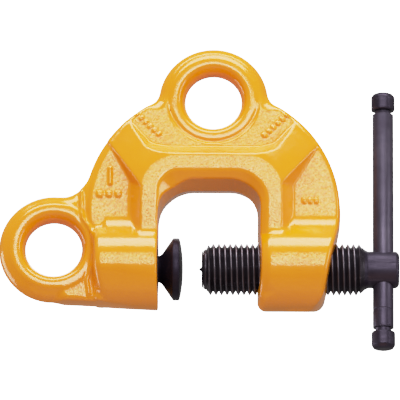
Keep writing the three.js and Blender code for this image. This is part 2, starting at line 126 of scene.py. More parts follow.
# The tommy bar and its caps.
BAR_X = JOINTS["bar_slide"]["pos_m"][0] / MM
BAR_R = 5.6
BAR_HOLE_R = 5.85
BAR_SPIGOT_R = 3.2
CAP_R = 6.45
CAP_DEPTH = 6.0
SCRIBED_AT = (-125.0, -115.4)

# The cam pad, from its ball to the middle of its face.
BALL_X = JOINTS["cam_tilt"]["pos_m"][0] / MM
BALL_R = 9.5
STEM_R = 5.5
NECK_R = 7.05
FLARE_X = -29.6
FLARE_R = 3.4
PAD_R = 16.75
PAD_FACE = -15.9


# ---------------------------------------------------------------- field helpers

def smooth_min(a, b, k):
    """The smaller of two fields, with a fillet where they cross."""
    h = np.maximum(k - np.abs(a - b), 0) / k
    return np.minimum(a, b) - h * h * k * 0.25


def smooth_max(a, b, k):
    return -smooth_min(-a, -b, k)


def round_and(a, b, r):
    """What two solids share, with the edge between them rounded to radius r."""
    return np.minimum(-r, np.maximum(a, b)) + np.hypot(np.maximum(a + r, 0), np.maximum(b + r, 0))


def ramp(value, low, high):
    """0 below low, 1 above high, with a smooth rise between them."""
    t = np.clip((value - low) / (high - low), 0, 1)
    return t * t * (3 - 2 * t)


def distance_from(circle, x, z):
    """Distance from a circle's centre."""
    return np.hypot(x - circle[0], z - circle[1])


def beside(x, z, start, end):
    """How far a point lies to the left of the line from start to end."""
    dx, dz = end[0] - start[0], end[1] - start[1]
    return ((z - start[1]) * dx - (x - start[0]) * dz) / math.hypot(dx, dz)


def arc(cx, cz, r, start, end, steps):
    return [(cx + r * math.cos(start + (end - start) * i / steps),
             cz + r * math.sin(start + (end - start) * i / steps)) for i in range(steps + 1)]


def polygon_distance(points, x, z):
    """Distance to a closed outline, negative inside it."""
    nearest = np.full(x.shape, 1e9, np.float32)
    inside = np.ones(x.shape, np.float32)
    for i, (ax, az) in enumerate(points):
        bx, bz = points[i - 1]
        ex, ez = bx - ax, bz - az
        length = ex * ex + ez * ez
        if length < 1e-9:
            continue
        wx, wz = x - ax, z - az
        t = np.clip((wx * ex + wz * ez) / length, 0, 1)
        nearest = np.minimum(nearest, (wx - ex * t) ** 2 + (wz - ez * t) ** 2)
        above, below = z >= az, z < bz
        left = ex * wz > ez * wx
        flip = (above & below & left) | (~above & ~below & ~left)
        inside = np.where(flip, -inside, inside)
    return inside * np.sqrt(nearest)


def line_distance(points, x, z):
    """Distance to an open chain of straight lines."""
    nearest = np.full(x.shape, 1e9, np.float32)
    for (ax, az), (bx, bz) in zip(points, points[1:]):
        ex, ez = bx - ax, bz - az
        t = np.clip(((x - ax) * ex + (z - az) * ez) / (ex * ex + ez * ez), 0, 1)
        nearest = np.minimum(nearest, (x - ax - ex * t) ** 2 + (z - az - ez * t) ** 2)
    return np.sqrt(nearest)


def fillet_circle(first, second, radius, side):
    """The circle of a concave fillet that touches two circles from outside."""
    reach1, reach2 = first[2] + radius, second[2] + radius
    dx, dz = second[0] - first[0], second[1] - first[1]
    apart = math.hypot(dx, dz)
    along = (apart ** 2 + reach1 ** 2 - reach2 ** 2) / (2 * apart)
    off = math.sqrt(reach1 ** 2 - along ** 2) * side
    return (first[0] + (along * dx - off * dz) / apart, first[1] + (along * dz + off * dx) / apart, radius)


def bearing(start, end):
    return math.atan2(end[1] - start[1], end[0] - start[0])


# ---------------------------------------------------------------- the forging, as fields in X and Z

def silhouette():
    """The forging's outline with its throat filled in, anticlockwise from the left boss's foot."""
    right = fillet_circle(ARCH, TOP_EYE, 11, -1)
    left = fillet_circle(ARCH, TOP_EYE, 10.5, 1)
    side = fillet_circle(SIDE_EYE, ARCH, 15, 1)
    corner_r = 11.5
    corner_x = 49.5
    right_bottom = BOTTOM_Z - 1.2
    points = [(-61.0, BOTTOM_Z + 2.5), (THROAT_LEFT - 1, BOTTOM_Z - 0.6), (THROAT_RIGHT, right_bottom)]
    points += arc(corner_x, right_bottom + corner_r, corner_r, -math.pi / 2, -0.15, 8)
    points += arc(*ARCH, -0.14, bearing(ARCH, right), 24)
    points += arc(*right, bearing(right, ARCH), bearing(right, TOP_EYE), 6)
    points += arc(*TOP_EYE, bearing(TOP_EYE, right), bearing(TOP_EYE, left) % (2 * math.pi), 40)
    points += arc(*left, bearing(left, TOP_EYE), bearing(left, ARCH), 6)
    points += arc(*ARCH, bearing(ARCH, left), bearing(ARCH, side), 20)
    points += arc(*side, bearing(side, ARCH), bearing(side, SIDE_EYE), 6)
    points += arc(*SIDE_EYE, bearing(SIDE_EYE, side), 1.5 * math.pi - 0.12, 30)
    return points


def archway(left, right, top, left_r, right_r):
    """An opening that runs down past the forging, with a round corner at each side of its top."""
    points = [(left, UNDER_ALL)]
    points += arc(left + left_r, top - left_r, left_r, math.pi, math.pi / 2, 10)
    points += arc(right - right_r, top - right_r, right_r, math.pi / 2, 0, 10)
    return points + [(right, UNDER_ALL)]


class Sampled:
    """A field in X and Z kept on a fine grid, so that it is quick to read anywhere."""
    STEP = 0.25
    LOW = (-118.0, -120.0)
    SIZE = (770, 610)

    def __init__(self, make):
        x = self.LOW[0] + self.STEP * np.arange(self.SIZE[0])
        z = self.LOW[1] + self.STEP * np.arange(self.SIZE[1])
        grid = np.meshgrid(x, z, indexing="ij")
        self.values = make(grid[0].astype(np.float32), grid[1].astype(np.float32)).astype(np.float32)

    def __call__(self, x, z):
        u = np.clip((x - self.LOW[0]) / self.STEP, 0, self.SIZE[0] - 1.001)
        v = np.clip((z - self.LOW[1]) / self.STEP, 0, self.SIZE[1] - 1.001)
        i, j = u.astype(int), v.astype(int)
        s, t = u - i, v - j
        g = self.values
        return ((g[i, j] * (1 - s) + g[i + 1, j] * s) * (1 - t)
                + (g[i, j + 1] * (1 - s) + g[i + 1, j + 1] * s) * t)


def sampled_outline(points):
    return Sampled(lambda x, z: polygon_distance(points, x, z))


OUTLINE = sampled_outline(silhouette())

# The throat, the outline where its chamfered walls meet the raised band, and the band's outer edge.
THROAT = sampled_outline(archway(THROAT_LEFT, THROAT_RIGHT, THROAT_TOP, 18, 15))
MOUTH = sampled_outline(archway(-30.0, 29.6, -42.0, 12, 17.5))
BAND = sampled_outline(archway(-38.2, 36.8, -34.6, 19, 19))


def ring_face(from_eye):
    """The ring round an eye, whose face is slightly crowned."""
    crown_rise, crown_r = 0.2, 15
    return EYE_HALF + crown_rise - np.clip(from_eye - RING_R, -2.5, 4) ** 2 / (2 * crown_r)


def web_face(x, z):
    """The eyes' rings, the webs that they stand on, and the groove under the top eye's ring."""
    from_top = distance_from(TOP_EYE, x, z)
    from_side = distance_from(SIDE_EYE, x, z)
    panel_slope = 0.045
    panel = PANEL_HALF + panel_slope * np.clip(-10 - z, 0, 16)
    ring_top = ring_face(from_top)
    ring_side = ring_face(from_side)
    web = ring_top + (panel - ring_top) * ramp(from_top, 23.8, 25.8)
    groove = 0.45 * np.exp(-((from_top - 24.2) / 1.0) ** 2) * ramp(-z, 2, 12)
    low = ring_side + (SMALL_WEB_HALF - ring_side) * ramp(from_side, 23.4, 25.8)
    beyond = np.where(x < -50, ramp(distance_from(ARCH, x, z), 64.6, 67.6), 0)
    beyond = np.where(z < AXIS_Z, ramp(-x, 61, 64), beyond)
    web = web - groove
    return web + (low - web) * beyond


def band_face(z):
    """The raised band's face, which grows a little towards the crown of the arch."""
    return BAND_HALF + BAND_RISE * ramp(z, -82, -50)


def raised_face(x, z):
    """The raised band round the throat, whose side slopes to the web, and the broad shoulder over it."""
    outside_band = np.maximum(BAND(x, z), 0)
    crown = band_face(z)
    side_width = 7.0
    band = crown - (crown - PANEL_HALF) / side_width * outside_band
    shoulder = crown - (0.2 + 0.04 * (crown - BAND_HALF)) * outside_band

    # A short wall ends the shoulder under the top eye, and a slope ends it beside each panel.
    wall_slope = 1.5
    foot = [(46.5, -11.0), (32.4, -25.6), (25.5, -27.3), (-27.0, -27.0), (-33.4, -25.4), (-47.0, -10.6)]
    wall = PANEL_HALF + wall_slope * beside(x, z, foot[0], foot[1])
    for start, end in zip(foot[1:], foot[2:]):
        wall = smooth_max(wall, PANEL_HALF + wall_slope * beside(x, z, start, end), 2.0)
    shoulder = smooth_min(shoulder, wall, 1.0)
    sides = (((-57.6, -23.1), (-44.7, -46.7), 3.0, 1.2), ((44.0, -48.0), (58.5, -24.0), 1.8, 0.4))
    for start, end, slope, fillet in sides:
        shoulder = smooth_min(shoulder, PANEL_HALF + slope * beside(x, z, start, end), fillet)
    return smooth_max(band, shoulder, 0.8)


def seam(x, z):
    """The wavy raised seam where the side eye's web meets the left boss and panel."""
    crest = [(-70.9, -51.6), (-70.4, -62.0), (-69.6, -67.2), (-66.6, -71.6), (-64.2, -76.5),
             (-63.4, -84.9), (-64.8, -92.5), (-65.4, -96.6), (-67.0, -101.6), (-65.8, -109.0)]
    away = line_distance(crest, x, z)
    return 0.75 * np.exp(-(away / 0.75) ** 2) - 0.35 * np.exp(-((away - 1.9) / 0.8) ** 2)


def bar_mark(x, z, cx, cz, wide, tall, turn=0.0):
    """1 on a low raised bar that stands where a forging carries its size marks, 0 off it."""
    c, s = math.cos(turn), math.sin(turn)
    u, v = (x - cx) * c + (z - cz) * s, -(x - cx) * s + (z - cz) * c
    away = np.maximum(np.abs(u) - wide / 2, np.abs(v) - tall / 2)
    return 1 - ramp(away, -0.5, 0.3)


def marks(x, z):
    """Plain raised bars on the panels, with no lettering."""
    tall_rise, rise = 1.0, 0.8
    raised = tall_rise * bar_mark(x, z, -55.1, -44.0, 2.0, 10.2)
    for i in range(3):
        raised = np.maximum(raised, rise * bar_mark(x, z, -60.6 + 4.9 * i, -54.0, 3.1, 3.4))
        raised = np.maximum(raised, rise * bar_mark(x, z, 48.9 + 3.2 * i, -57.6, 2.0, 2.8))
    for i in range(6):
        down = 3.3 * i
        for cx, cz, side in ((-41.0, -9.0, -1), (39.5, -9.6, 1)):
            mark = bar_mark(x, z, cx - side * down * 0.72, cz - down * 0.69, 1.9, 2.7, side * 0.77)
            raised = np.maximum(raised, rise * mark)
    return raised


def half_thickness(x, z):
    """Half the forging's thickness, bosses apart. It runs out under the bosses."""
    face = smooth_max(web_face(x, z), raised_face(x, z), 1.6)
    half = smooth_min(face, band_face(z), 1.2) + marks(x, z) + seam(x, z)
    under_boss = ramp(x, -60.5, -53) * ramp(-z, -AXIS_Z + 4, -AXIS_Z + 14)
    return half * (1 - 1.4 * under_boss)


HALF = Sampled(half_thickness)


def steepness(x, z):
    """What scales a height above HALF to a distance from it: 1 on flats, less where it slopes.

    It stays 1 under the bosses, where the plate runs out. It is only made on Sampled's own grid.
    """
    slope_x, slope_z = np.gradient(HALF.values, Sampled.STEP)
    steep = 1 / np.sqrt(1 + slope_x ** 2 + slope_z ** 2)
    return steep + (1 - steep) * ramp(AXIS_Z - z, 0, 4) * ramp(x, -61, -57)


def edge_radius(x, z):
    """How far the silhouette's edges are rounded: most on the eyes, least under the bosses."""
    from_top = distance_from(TOP_EYE, x, z) + np.maximum(-z - 6, 0)
    from_side = distance_from(SIDE_EYE, x, z) + np.maximum(x + 72, 0) * 0.8
    from_side = from_side + np.maximum(x + 86, 0) * 1.2 * ramp(-z, 95, 101)
    near_eye = np.maximum(1 - ramp(from_top, 27, 37), 1 - ramp(from_side, 29, 39))
    under_boss = ramp(x, -64, -58) * (1 - ramp(z, BOTTOM_Z + 1, BOTTOM_Z + 9))
    return (2.6 + 5.2 * near_eye) * (1 - 0.88 * under_boss)


STEEP = Sampled(steepness)
EDGE_R = Sampled(edge_radius)
SHOULDERED = Sampled(lambda x, z: ramp(HALF.values, PANEL_HALF + 0.3, BAND_HALF - 3))


# ---------------------------------------------------------------- the forging, as a field in space

def boss(x, away, z):
    """Both bosses, as one bar. Its lower half tapers to the left, where its end face leans back."""
    taper = LEFT_BOSS_TAPER * np.clip(THROAT_LEFT - x, 0, 34) * (1 - ramp(z, AXIS_Z - 12, AXIS_Z - 2))
    radial = np.hypot(away, z - AXIS_Z) - BOSS_R + taper - 0.5 * ramp(x, 0, 10)
    end = LEFT_BOSS_END + 0.016 * np.maximum(AXIS_Z - z, 0) ** 2 + 0.12 * away
    return round_and(radial, (end - x) * 0.97, 3.2)


def throat_wall(x, away, z):
    """All but the throat, whose walls have the die's draft and a wide chamfer up to band or boss."""
    draft = 0.03 + 0.09 * ramp(x, -24, -10) + 0.08 * ramp(z, -66, -54)
    face = np.maximum(band_face(z), np.sqrt(np.maximum(BOSS_R ** 2 - (z - AXIS_Z) ** 2, 0)))
    chamfer = (-MOUTH(x, z) - CHAMFER_RUN * (face - away)) / CHAMFER_SLANT
    return smooth_max(draft * away - THROAT(x, z), chamfer, 0.8)


def bored_eye(eye, x, away, z):
    """All but an eye's bore and the rounded lips at its ends."""
    inward = BORE_R - distance_from(eye, x, z)
    lip = (inward + LIP_R - LIP_RUN * (EYE_HALF - np.minimum(away, EYE_HALF + 1))) / LIP_SLANT
    return smooth_max(inward, lip, 3.2)


def forging(x, y, z):
    """The whole forging: negative inside it."""
    away = np.abs(y)
    plate = (away - HALF(x, z)) * STEEP(x, z)
    tightness = np.maximum(SHOULDERED(x, z), 1 - ramp(x, -60, -56))
    body = smooth_min(plate, boss(x, away, z), WIDE_FILLET + (TIGHT_FILLET - WIDE_FILLET) * tightness)
    side_draft = 0.04
    body = round_and(body, OUTLINE(x, z) + side_draft * away, EDGE_R(x, z))
    wall_edge = EDGE_BREAK + 3.0 * ramp(x, -24, -10) * ramp(-z, 105, 113)
    body = round_and(body, throat_wall(x, away, z), wall_edge)
    for eye in (TOP_EYE, SIDE_EYE):
        body = round_and(body, bored_eye(eye, x, away, z), EDGE_BREAK)
    from_axis = np.hypot(away, z - AXIS_Z)
    in_throat = THROAT_LEFT + 9
    cam_bore = np.maximum(np.maximum(from_axis - CAM_BORE_R, CAM_BORE_END - x), x - in_throat)
    tap_drill = np.maximum(from_axis - TAP_DRILL_R, -x)
    return np.maximum(np.maximum(body, -cam_bore), -tap_drill)


# ---------------------------------------------------------------- meshes

def gradient(field, p, reach):
    x, y, z = p.T
    return np.stack([
        field(x + reach, y, z) - field(x - reach, y, z),
        field(x, y + reach, z) - field(x, y - reach, z),
        field(x, y, z + reach) - field(x, y, z - reach),
    ], axis=1) / (2 * reach)


def surface(field, low, high, step, settle=4):
    """Quads on a field's zero surface: one corner in each crossed cell, pulled onto the surface."""
    axes = [np.arange(a, b + step, step) for a, b in zip(low, high)]
    x, y, z = axes
    value = field(x[:, None, None], y[None, :, None], z[None, None, :]).astype(np.float32)
    cells = tuple(n - 1 for n in value.shape)
    count = np.zeros(np.prod(cells))
    total = [np.zeros(np.prod(cells)) for _ in range(3)]
    faces = []
    for axis in range(3):
        lower = np.moveaxis(value, axis, 0)[:-1]
        upper = np.moveaxis(value, axis, 0)[1:]
        found = np.argwhere((lower < 0) != (upper < 0))
        a, b = lower[tuple(found.T)], upper[tuple(found.T)]
        rest = [k for k in range(3) if k != axis]
        index = np.zeros_like(found)
        index[:, axis] = found[:, 0]
        index[:, rest[0]], index[:, rest[1]] = found[:, 1], found[:, 2]
        point = np.stack([axes[k][index[:, k]] for k in range(3)], axis=1)
        point[:, axis] += step * a / (a - b)
        u, v = (axis + 1) % 3, (axis + 2) % 3
        corner_ids = []
        for du, dv in ((1, 1), (0, 1), (0, 0), (1, 0)):
            cell = index.copy()
            cell[:, u] -= du
            cell[:, v] -= dv
            flat = np.ravel_multi_index(cell.T, cells, mode="clip")
            corner_ids.append(flat)
            count += np.bincount(flat, minlength=len(count))
            for k in range(3):
                total[k] += np.bincount(flat, weights=point[:, k], minlength=len(count))
        quad = np.stack(corner_ids, axis=1)
        faces.append(np.where((a < 0)[:, None], quad, quad[:, ::-1]))
    used = np.nonzero(count)[0]
    renumber = np.zeros(len(count), int)
    renumber[used] = np.arange(len(used))
    p = np.stack([t[used] / count[used] for t in total], axis=1)
    reach, least_slope = 0.12, 0.3
    for _ in range(settle):
        slope = gradient(field, p, reach)
        move = field(*p.T) / np.maximum((slope ** 2).sum(1), least_slope)
        p -= np.clip(move, -step, step)[:, None] * slope
    return p, renumber[np.concatenate(faces)]


def mesh_object(name, points, faces, material, sharp=None):
    """A mesh object from points in millimetres, smooth except along edges over the sharp angle."""
    mesh = bpy.data.meshes.new(name)
    mesh.from_pydata((np.asarray(points) * MM).tolist(), [], [list(map(int, f)) for f in faces])
    mesh.update()
    clean = bmesh.new()
    clean.from_mesh(mesh)
    bmesh.ops.remove_doubles(clean, verts=clean.verts, dist=1e-7)
    bmesh.ops.dissolve_degenerate(clean, edges=clean.edges, dist=1e-7)
    bmesh.ops.recalc_face_normals(clean, faces=clean.faces)
    clean.to_mesh(mesh)
    clean.free()
    mesh.shade_smooth()
    if sharp is not None:
        mesh.set_sharp_from_angle(angle=math.radians(sharp))
    mesh.materials.append(material)
    obj = bpy.data.objects.new(name, mesh)
    bpy.context.scene.collection.objects.link(obj)
    return obj


def rounded(profile, radius, steps=3):
    """A profile of (distance along the axis, radius) with each inner corner rounded."""
    points = [profile[0]]
    for before, corner, after in zip(profile, profile[1:], profile[2:]):
        a, c, b = Vector(before), Vector(corner), Vector(after)
        reach = min(radius, (a - c).length * 0.45, (b - c).length * 0.45)
        start, end = c + (a - c).normalized() * reach, c + (b - c).normalized() * reach
        for i in range(steps + 1):
            t = i / steps
            points.append(tuple((1 - t) ** 2 * start + 2 * t * (1 - t) * c + t * t * end))
    return points + [profile[-1]]


def turned(profile, sides=96, wobble=None):
    """Points and faces swept round +X by a profile of (distance along the axis, radius)."""
    points, faces = [], []
    rows = []
    for t, r in profile:
        if r < 1e-6:
            rows.append([len(points)] * sides)
            points.append((t, 0, 0))
        else:
            rows.append(list(range(len(points), len(points) + sides)))
            for i in range(sides):
                angle = 2 * math.pi * i / sides
                reach = r * (wobble(r, angle) if wobble else 1)
                points.append((t, reach * math.cos(angle), reach * math.sin(angle)))
    for low, high in zip(rows, rows[1:]):
        for i in range(sides):
            j = (i + 1) % sides
            face = list(dict.fromkeys([low[i], high[i], high[j], low[j]]))
            if len(face) > 2:
                faces.append(face)
    return np.array(points, float), faces


def on_screw_axis(points):
    return points + np.array([0, 0, AXIS_Z])


def on_bar_axis(points):
    """Turns a solid about X into one about the tommy bar's upright axis."""
    return np.stack([points[:, 1] + BAR_X, points[:, 2], points[:, 0]], axis=1)


def cut_away(obj, points, faces):
    """Takes a closed solid away from an object for good."""
    tool = mesh_object(obj.name + ".tool", points, faces, obj.data.materials[0])
    step = obj.modifiers.new("cut", "BOOLEAN")
    step.operation = "DIFFERENCE"
    step.solver = "EXACT"
    step.object = tool
    bpy.context.view_layer.update()
    graph = bpy.context.evaluated_depsgraph_get()
    mesh = bpy.data.meshes.new_from_object(obj.evaluated_get(graph))
    obj.modifiers.clear()
    old = obj.data
    obj.data = mesh
    mesh.name = obj.name
    bpy.data.meshes.remove(old)
    bpy.data.objects.remove(tool)


def thread_rows(clearance):
    """(offset, radius) along one pitch of the thread, from one side of a crest round to the next."""
    flank = math.tan(math.pi / 6)
    crest = 0.21 + clearance * (1 / math.cos(math.pi / 6) - flank)
    depth = min(MAJOR_R - MINOR_R, (PITCH / 2 - 0.05 - crest) / flank)
    width = depth * flank
    top = MAJOR_R + 0.05
    rows = [(-crest, MAJOR_R), (-crest * 0.5, top), (crest * 0.5, top), (crest, MAJOR_R)]
    rows += [(crest + width * share, MAJOR_R - depth * share) for share in FLANK_SHARES]
    rows.append((PITCH / 2, MAJOR_R - depth))
    rows += [(PITCH - crest - width * share, MAJOR_R - depth * share) for share in reversed(FLANK_SHARES)]
    return [(offset, radius + clearance) for offset, radius in rows]


def threaded(start, end, envelope, before, after, clearance=0.0, sides=72):
    """A right-handed threaded rod about +X, whose thread stays within envelope(x).

    before and after are the plain profiles at its two ends.
    """
    rows = thread_rows(clearance)
    first = math.floor(start / PITCH) - 2
    turns = math.ceil((end - start) / PITCH) + 4
    width = (turns + 1) * len(rows)
    points, faces = [], []
    for i in range(sides):
        angle = 2 * math.pi * i / sides
        for c in range(width):
            offset, radius = rows[c % len(rows)]
            x = PITCH * (first + c // len(rows) + i / sides) + offset + PHASE
            x = min(max(x, start), end)
            r = min(radius, envelope(x))
            points.append((x, r * math.cos(angle), r * math.sin(angle)))
    for i in range(sides):
        j, shift = (i + 1, 0) if i + 1 < sides else (0, len(rows))
        for c in range(turns * len(rows) - 1):
            here, there = i * width + c, j * width + c + shift
            faces.append([here, here + 1, there + 1, there])
    for profile in (before, after):
        extra, more = turned(profile, sides)
        faces += [[k + len(points) for k in face] for face in more]
        points += [tuple(p) for p in extra]
    return np.array(points, float), faces


# ---------------------------------------------------------------- materials

class Nodes:
    """Builds one node material, with short calls for the nodes it needs."""

    def __init__(self, name):
        self.material = bpy.data.materials.new(name)
        self.material.use_nodes = True
        self.tree = self.material.node_tree
        self.shader = self.tree.nodes["Principled BSDF"]
        self.place = self.add("ShaderNodeTexCoord").outputs["Object"]

    def add(self, kind, links=None, **settings):
        """A node with its links, its own settings, and constants on its sockets."""
        node = self.tree.nodes.new(kind)
        for key, value in settings.items():
            if hasattr(node, key):
                setattr(node, key, value)
            else:
                node.inputs[key.replace("_", " ")].default_value = value
        for socket, source in (links or {}).items():
            self.tree.links.new(source, node.inputs[socket])
        return node

    def vector(self, value):
        node = self.add("ShaderNodeCombineXYZ")
        for socket, number in zip(node.inputs, value):
            socket.default_value = number
        return node.outputs[0]

    def stretched(self, scale):
        """The object's own coordinates, scaled along each axis."""
        return self.add("ShaderNodeVectorMath", {0: self.place, 1: self.vector(scale)},
                        operation="MULTIPLY").outputs[0]

    def height(self):
        return self.add("ShaderNodeSeparateXYZ", {0: self.place}).outputs["Z"]

    def from_line(self, point, across):
        """Distance in metres from the line through a point in millimetres. across is 0 along it."""
        through = self.vector([number * MM for number in point])
        offset = self.add("ShaderNodeVectorMath", {0: self.place, 1: through}, operation="SUBTRACT")
        square = self.add("ShaderNodeVectorMath", {0: offset.outputs[0], 1: self.vector(across)},
                          operation="MULTIPLY")
        return self.add("ShaderNodeVectorMath", {0: square.outputs[0]}, operation="LENGTH").outputs["Value"]

    def noise(self, scale, detail=3.0, where=None, roughness=0.5):
        return self.add("ShaderNodeTexNoise", {"Vector": where or self.place},
                        Scale=scale, Detail=detail, Roughness=roughness).outputs["Fac"]

    def remap(self, source, low, high, to_low=0.0, to_high=1.0):
        return self.add("ShaderNodeMapRange", {"Value": source},
                        From_Min=low, From_Max=high, To_Min=to_low, To_Max=to_high).outputs["Result"]

    def maths(self, operation, a, b=None):
        node = self.add("ShaderNodeMath", operation=operation)
        for socket, value in zip(node.inputs, (a, b)):
            if value is None:
                continue
            if isinstance(value, (int, float)):
                socket.default_value = value
            else:
                self.tree.links.new(value, socket)
        return node.outputs[0]

    def times(self, a, b):
        return self.maths("MULTIPLY", a, b)

    def blend(self, share, first, second):
        """Mixes two colours, each a colour or a socket, by a share that is a number or a socket."""
        share_in, first_in, second_in, mixed_out = 0, 6, 7, 2
        node = self.add("ShaderNodeMix", data_type="RGBA")
        for place, value in ((share_in, share), (first_in, first), (second_in, second)):
            if isinstance(value, tuple):
                node.inputs[place].default_value = (*value, 1)
            elif isinstance(value, float):
                node.inputs[place].default_value = value
            else:
                self.tree.links.new(value, node.inputs[place])
        return node.outputs[mixed_out]

    def bump(self, height, strength, distance, below=None):
        """Fine relief from a height, on top of the relief below it. Its strength may be a socket."""
        node = self.add("ShaderNodeBump", {"Height": height}, Distance=distance)
        if isinstance(strength, float):
            node.inputs["Strength"].default_value = strength
        else:
            self.tree.links.new(strength, node.inputs["Strength"])
        if below:
            self.tree.links.new(below, node.inputs["Normal"])
        return node.outputs["Normal"]

    def finish(self, colour, roughness, normal=None, **constants):
        for socket, source in (("Base Color", colour), ("Roughness", roughness), ("Normal", normal)):
            if source is not None:
                self.tree.links.new(source, self.shader.inputs[socket])
        for key, value in constants.items():
            self.shader.inputs[key.replace("_", " ")].default_value = value
        return self.material


def enamel():
    """Glossy yellow enamel. The die's flat faces keep a pitted forged skin; the curved ones are smooth. On
    faces that look straight out to the front or back, away from the eyes' rings, the skin's bumps are
    painted pale, a painted sheen, and its pits are painted darker, painted shade.
    """
    n = Nodes("yellow_enamel")
    facing = n.add("ShaderNodeSeparateXYZ", {0: n.add("ShaderNodeNewGeometry").outputs["Normal"]})
    # Faces that look straight out to the front or back. Their skin is bumped and rougher, and below it also
    # carries painted sheen and shade.
    flat = n.remap(n.maths("ABSOLUTE", facing.outputs["Y"]), 0.984, 0.993)
    for x, z, _ in (TOP_EYE, SIDE_EYE):
        off_ring = n.remap(n.from_line((x, 0, z), (1, 0, 1)), 0.0235, 0.0255, 0.15, 1.0)
        flat = n.times(flat, off_ring)
    skin = n.noise(1000, 2.5, roughness=0.55)
    pits = n.add("ShaderNodeTexVoronoi", {"Vector": n.place}, feature="SMOOTH_F1", Scale=700)
    swell = n.noise(55, 2.0)
    height = n.maths("ADD", n.times(skin, 0.7), n.times(pits.outputs["Distance"], 0.5))
    coarse = n.bump(swell, 0.3, 0.0007)
    normal = n.bump(height, n.remap(flat, 0, 1, 0.04, 0.6), 0.0006, coarse)

    deep, plain = (0.83, 0.266, 0.001), (0.90, 0.298, 0.002)
    # Painted shade in the pits and painted sheen on the bumps, laid on the front- and back-facing flats.
    pit_painted_shade, skin_painted_sheen = (0.62, 0.17, 0.004), (0.96, 0.58, 0.16)
    tone = n.blend(n.remap(n.noise(28, 3.0), 0.3, 0.7), deep, plain)
    tone = n.blend(n.times(n.remap(skin, 0.46, 0.30), n.times(flat, 0.38)), tone, pit_painted_shade)
    tone = n.blend(n.times(n.remap(skin, 0.42, 0.70), n.times(flat, 0.62)), tone, skin_painted_sheen)
    rough = n.maths("ADD", n.remap(n.noise(160, 3.0), 0.3, 0.7, 0.11, 0.18), n.times(flat, 0.13))
    return n.finish(tone, rough, normal, IOR=1.6)


def oxide(name, dark, light, streak, rough_low, rough_high, grain=(1, 1, 1), metallic=0.75, crest=None,
          shaded_below=False):
    """Oxide-blacked steel: fine machining grain, a cloudy tone and paler rubbed streaks.

    A thread's crests are painted paler, a painted highlight that is faint below the screw's axis and
    strongest above it, where the light falls from above. A handle is painted darker towards its lower end,
    painted shade, and a little paler towards its upper end, painted light.
    """
    n = Nodes(name)
    cloud = n.noise(90, 3.0)
    grained = n.noise(900, 3.0, n.stretched(grain), 0.6)
    rubbed = n.noise(260, 4.0, n.stretched(grain), 0.65)
    tone = n.blend(n.remap(cloud, 0.3, 0.7), dark, light)
    tone = n.blend(n.remap(rubbed, 0.56, 0.80, 0, 0.55), tone, streak)
    if crest:
        # Painted highlight: the thread's crests are painted paler, most on the screw's upper half, where
        # the light falls from above.
        axis = AXIS_Z * MM
        upper = n.remap(n.height(), axis - 0.004, axis + 0.007, 0.15, 0.5)
        radius = n.from_line((0, 0, AXIS_Z), (0, 1, 1))
        crest_highlight = n.times(n.remap(radius, (MAJOR_R - 0.5) * MM, (MAJOR_R - 0.05) * MM), upper)
        tone = n.blend(crest_highlight, tone, crest)
    if shaded_below:
        # Painted shade: the handle is painted darker towards its lower end, and a little paler towards its
        # upper end, painted light.
        painted_shade_below, painted_light_above = n.blend(0.6, tone, dark), n.blend(0.07, tone, streak)
        tone = n.blend(n.remap(n.height(), -0.11, -0.06), painted_shade_below, painted_light_above)
    rough = n.remap(grained, 0.3, 0.7, rough_low, rough_high)
    normal = n.bump(grained, 0.25, 0.00008)
    return n.finish(tone, rough, normal, Metallic=metallic)


def black_rubber():
    n = Nodes("black_rubber")
    skin = n.noise(1400, 3.0)
    tone = n.blend(n.remap(n.noise(200, 2.0), 0.3, 0.7), (0.010, 0.010, 0.011), (0.022, 0.021, 0.022))
    return n.finish(tone, n.remap(skin, 0.3, 0.7, 0.62, 0.85), n.bump(skin, 0.3, 0.00008))


def pale_floor():
    n = Nodes("pale_floor")
    tone = n.blend(n.remap(n.noise(3, 3.0), 0.3, 0.7), (0.78, 0.78, 0.78), (0.84, 0.84, 0.84))
    return n.finish(tone, n.remap(n.noise(8, 2.0), 0.3, 0.7, 0.7, 0.9))


# How the grain of a part turned about X is stretched, and the dark, light and streak of black oxide.
TURNED = (0.12, 1, 1)
BLACKED = ((0.024, 0.018, 0.026), (0.052, 0.043, 0.056), (0.22, 0.19, 0.25))

YELLOW = enamel()
BLACK = oxide("black_oxide", *BLACKED, 0.34, 0.52, TURNED)
# The thread's crest colour is a painted highlight.
THREAD = oxide("thread_oxide", *BLACKED, 0.30, 0.46, TURNED, crest=(0.42, 0.38, 0.45))
HEAD = oxide("head_oxide", (0.022, 0.016, 0.030), (0.042, 0.032, 0.054), (0.16, 0.13, 0.19),
             0.36, 0.52, TURNED)
PAD_BLACK = oxide("pad_oxide", (0.010, 0.006, 0.014), (0.021, 0.014, 0.029), (0.055, 0.038, 0.075),
                  0.40, 0.54, (2.2, 0.7, 0.7))
# The handle is painted darker towards its lower end, painted shade.
HANDLE = oxide("handle_steel", (0.044, 0.034, 0.058), (0.080, 0.066, 0.100), (0.27, 0.24, 0.31),
               0.34, 0.50, (1, 1, 0.035), shaded_below=True)
SPRING = oxide("spring_steel", (0.16, 0.16, 0.17), (0.24, 0.24, 0.25), (0.40, 0.40, 0.42),
               0.28, 0.42, (0.1, 1, 1), 0.9)
RUBBER = black_rubber()

# ---------------------------------------------------------------- pieces


def forged_body():
    """The forging, with the screw's thread cut through its right boss."""
    low, high = (-116.0, -23.6, -117.2), (70.0, 23.6, 30.4)
    cell = 0.81
    obj = mesh_object("forged_body", *surface(forging, low, high, cell), YELLOW)
    start, end, tap_r = -2.0, 80.0, 14.9
    tap, faces = threaded(start, end, lambda x: MAJOR_R + 1, [(start, 0), (start, tap_r)],
                          [(end, tap_r), (end, 0)], clearance=0.36, sides=48)
    cut_away(obj, on_screw_axis(tap), faces)
    return obj


